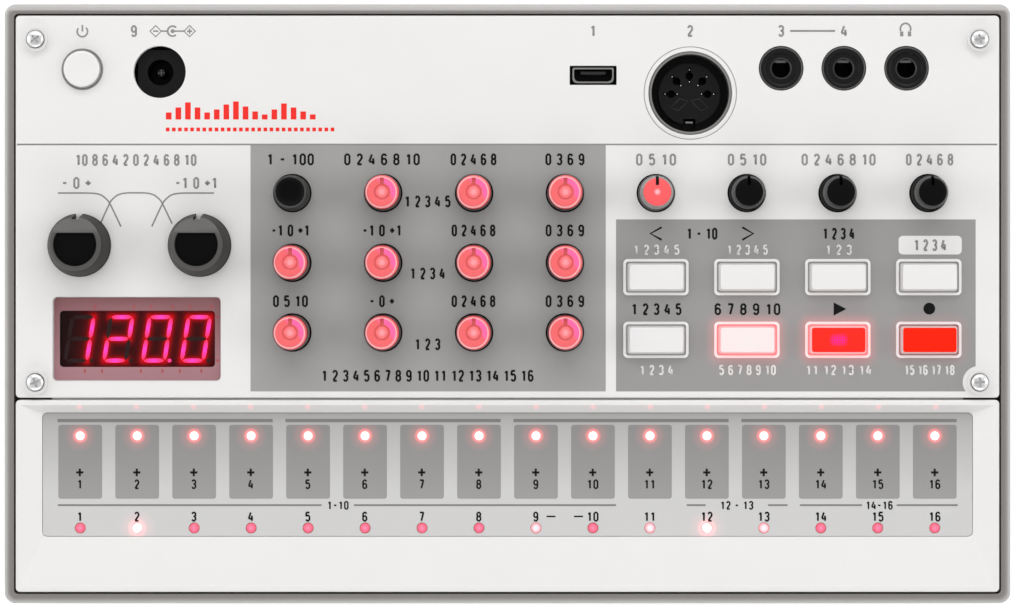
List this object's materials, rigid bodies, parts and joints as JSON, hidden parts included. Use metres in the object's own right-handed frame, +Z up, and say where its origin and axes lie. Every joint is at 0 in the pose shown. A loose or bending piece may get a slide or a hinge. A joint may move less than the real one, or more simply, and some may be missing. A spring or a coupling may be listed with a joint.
{
  "type": "desktop sample sequencer",
  "caption": "Small desktop sample sequencer: grey tub, white control panel with lit red knobs, buttons, a numeric display, sockets and a row of touch keys.",
  "frame": {"origin": "middle of the footprint, on the surface that the rubber feet stand on", "axes": "+X to the right along the keys, +Y to the rear where the sockets are, +Z up"},
  "size_m": [0.193, 0.115, 0.045],
  "materials": {
    "shell_grey": "moulded grey ABS, fine texture",
    "case_white": "moulded white ABS, fine texture",
    "overlay_grey": "smooth grey polycarbonate touch sheet",
    "knob_red": "translucent red, lit from below",
    "knob_black": "fine texture",
    "knob_grey": "soft dark grey with a satin side",
    "shaft_black": "moulded",
    "button_white": "translucent white",
    "button_red": "translucent red, lit from below",
    "lamp_red": "clear red light emitting diode, lit",
    "segment_red": "lit display bars",
    "window_tint": "clear tinted acrylic",
    "module_black": "satin",
    "socket_black": "moulded nylon",
    "screw_chrome": "bright plated",
    "screw_steel": "zinc plated",
    "contact_metal": "nickel plated",
    "foot_rubber": "matte",
    "board": "glass fibre board with solder mask",
    "cone_paper": "pressed paper",
    "lead_red": "insulated wire",
    "ribbon_grey": "flat insulated cable"
  },
  "bodies": {
    "case": {"lower_shell": "shell_grey", "control_panel": "case_white", "keyboard_frame": "case_white", "touch_overlay": "overlay_grey", "keyboard_lamps": "lamp_red", "touch_board": "board", "main_board": "board", "panel_screws": "screw_chrome", "case_screws": "screw_steel", "board_screws": "screw_steel", "rubber_feet": "foot_rubber", "potentiometer_bodies": "socket_black", "encoder_body": "socket_black", "indicator_lamps": "lamp_red", "key_switches": "socket_black", "power_switch": "socket_black", "jack_sockets": "socket_black", "dc_socket": "socket_black", "dc_pin": "contact_metal", "usb_socket": "contact_metal", "midi_shell": "contact_metal", "midi_insert": "socket_black", "display_window": "window_tint", "display_module": "module_black", "display_segments": "segment_red", "battery_contacts": "contact_metal", "speaker_frame": "screw_steel", "speaker_cone": "cone_paper", "speaker_leads": "lead_red", "ribbon_cable": "ribbon_grey"},
    "sample_select_knob": {"sample_select_knob": "knob_black"},
    "start_point_knob": {"start_point_knob": "knob_red"},
    "length_knob": {"length_knob": "knob_red"},
    "high_cut_knob": {"high_cut_knob": "knob_red"},
    "speed_knob": {"speed_knob": "knob_red"},
    "pitch_depth_knob": {"pitch_depth_knob": "knob_red"},
    "pitch_attack_knob": {"pitch_attack_knob": "knob_red"},
    "pitch_decay_knob": {"pitch_decay_knob": "knob_red"},
    "level_knob": {"level_knob": "knob_red"},
    "pan_knob": {"pan_knob": "knob_red"},
    "level_attack_knob": {"level_attack_knob": "knob_red"},
    "level_decay_knob": {"level_decay_knob": "knob_red"},
    "tempo_knob": {"tempo_knob": "knob_red"},
    "swing_knob": {"swing_knob": "knob_black"},
    "reverb_knob": {"reverb_knob": "knob_black"},
    "volume_knob": {"volume_knob": "knob_black"},
    "bass_isolator": {"bass_knob": "knob_grey", "bass_shaft": "shaft_black"},
    "treble_isolator": {"treble_knob": "knob_grey", "treble_shaft": "shaft_black"},
    "reverse_button": {"reverse_button": "button_white"},
    "reverb_button": {"reverb_button": "button_white"},
    "mute_button": {"mute_button": "button_white"},
    "function_button": {"function_button": "button_white"},
    "memory_button": {"memory_button": "button_white"},
    "step_mode_button": {"step_mode_button": "button_white"},
    "play_button": {"play_button": "button_red"},
    "record_button": {"record_button": "button_red"},
    "power_button": {"power_button": "case_white"},
    "battery_door": {"battery_door": "shell_grey"}
  },
  "joints": [
    {"name": "sample_select_knob_turn", "type": "hinge", "parent": "case", "child": "sample_select_knob", "pos_m": [-0.0412, 0.0212, 0.0355], "axis": [0, 0, 1], "continuous": true},
    {"name": "start_point_knob_turn", "type": "hinge", "parent": "case", "child": "start_point_knob", "pos_m": [-0.0238, 0.0212, 0.0355], "axis": [0, 0, 1], "range_deg": [-150, 150]},
    {"name": "length_knob_turn", "type": "hinge", "parent": "case", "child": "length_knob", "pos_m": [-0.0064, 0.0212, 0.0355], "axis": [0, 0, 1], "range_deg": [-150, 150]},
    {"name": "high_cut_knob_turn", "type": "hinge", "parent": "case", "child": "high_cut_knob", "pos_m": [0.011, 0.0212, 0.0355], "axis": [0, 0, 1], "range_deg": [-150, 150]},
    {"name": "speed_knob_turn", "type": "hinge", "parent": "case", "child": "speed_knob", "pos_m": [-0.0412, 0.00785, 0.0355], "axis": [0, 0, 1], "range_deg": [-150, 150]},
    {"name": "pitch_depth_knob_turn", "type": "hinge", "parent": "case", "child": "pitch_depth_knob", "pos_m": [-0.0238, 0.00785, 0.0355], "axis": [0, 0, 1], "range_deg": [-150, 150]},
    {"name": "pitch_attack_knob_turn", "type": "hinge", "parent": "case", "child": "pitch_attack_knob", "pos_m": [-0.0064, 0.00785, 0.0355], "axis": [0, 0, 1], "range_deg": [-150, 150]},
    {"name": "pitch_decay_knob_turn", "type": "hinge", "parent": "case", "child": "pitch_decay_knob", "pos_m": [0.011, 0.00785, 0.0355], "axis": [0, 0, 1], "range_deg": [-150, 150]},
    {"name": "level_knob_turn", "type": "hinge", "parent": "case", "child": "level_knob", "pos_m": [-0.0412, -0.0055, 0.0355], "axis": [0, 0, 1], "range_deg": [-150, 150]},
    {"name": "pan_knob_turn", "type": "hinge", "parent": "case", "child": "pan_knob", "pos_m": [-0.0238, -0.0055, 0.0355], "axis": [0, 0, 1], "range_deg": [-150, 150]},
    {"name": "level_attack_knob_turn", "type": "hinge", "parent": "case", "child": "level_attack_knob", "pos_m": [-0.0064, -0.0055, 0.0355], "axis": [0, 0, 1], "range_deg": [-150, 150]},
    {"name": "level_decay_knob_turn", "type": "hinge", "parent": "case", "child": "level_decay_knob", "pos_m": [0.011, -0.0055, 0.0355], "axis": [0, 0, 1], "range_deg": [-150, 150]},
    {"name": "tempo_knob_turn", "type": "hinge", "parent": "case", "child": "tempo_knob", "pos_m": [0.0284, 0.0212, 0.0355], "axis": [0, 0, 1], "range_deg": [-150, 150]},
    {"name": "swing_knob_turn", "type": "hinge", "parent": "case", "child": "swing_knob", "pos_m": [0.0458, 0.0212, 0.0355], "axis": [0, 0, 1], "range_deg": [-150, 150]},
    {"name": "reverb_knob_turn", "type": "hinge", "parent": "case", "child": "reverb_knob", "pos_m": [0.0632, 0.0212, 0.0355], "axis": [0, 0, 1], "range_deg": [-150, 150]},
    {"name": "volume_knob_turn", "type": "hinge", "parent": "case", "child": "volume_knob", "pos_m": [0.0806, 0.0212, 0.0355], "axis": [0, 0, 1], "range_deg": [-150, 150]},
    {"name": "bass_isolator_turn", "type": "hinge", "parent": "case", "child": "bass_isolator", "pos_m": [-0.0819, 0.0112, 0.0355], "axis": [0, 0, 1], "range_deg": [-150, 150]},
    {"name": "treble_isolator_turn", "type": "hinge", "parent": "case", "child": "treble_isolator", "pos_m": [-0.0589, 0.0112, 0.0355], "axis": [0, 0, 1], "range_deg": [-150, 150]},
    {"name": "reverse_button_press", "type": "slide", "parent": "case", "child": "reverse_button", "axis": [0, 0, -1], "range_m": [0, 0.0008], "stiffness_N_per_m": 600, "springref_m": -0.0008},
    {"name": "reverb_button_press", "type": "slide", "parent": "case", "child": "reverb_button", "axis": [0, 0, -1], "range_m": [0, 0.0008], "stiffness_N_per_m": 600, "springref_m": -0.0008},
    {"name": "mute_button_press", "type": "slide", "parent": "case", "child": "mute_button", "axis": [0, 0, -1], "range_m": [0, 0.0008], "stiffness_N_per_m": 600, "springref_m": -0.0008},
    {"name": "function_button_press", "type": "slide", "parent": "case", "child": "function_button", "axis": [0, 0, -1], "range_m": [0, 0.0008], "stiffness_N_per_m": 600, "springref_m": -0.0008},
    {"name": "memory_button_press", "type": "slide", "parent": "case", "child": "memory_button", "axis": [0, 0, -1], "range_m": [0, 0.0008], "stiffness_N_per_m": 600, "springref_m": -0.0008},
    {"name": "step_mode_button_press", "type": "slide", "parent": "case", "child": "step_mode_button", "axis": [0, 0, -1], "range_m": [0, 0.0008], "stiffness_N_per_m": 600, "springref_m": -0.0008},
    {"name": "play_button_press", "type": "slide", "parent": "case", "child": "play_button", "axis": [0, 0, -1], "range_m": [0, 0.0008], "stiffness_N_per_m": 600, "springref_m": -0.0008},
    {"name": "record_button_press", "type": "slide", "parent": "case", "child": "record_button", "axis": [0, 0, -1], "range_m": [0, 0.0008], "stiffness_N_per_m": 600, "springref_m": -0.0008},
    {"name": "power_button_press", "type": "slide", "parent": "case", "child": "power_button", "axis": [0, 0, -1], "range_m": [0, 0.0012], "stiffness_N_per_m": 600, "springref_m": -0.001},
    {"name": "battery_door_hinge", "type": "hinge", "parent": "case", "child": "battery_door", "pos_m": [-0.022, 0.0345, 0.002], "axis": [1, 0, 0], "range_deg": [0, 80]}
  ]
}
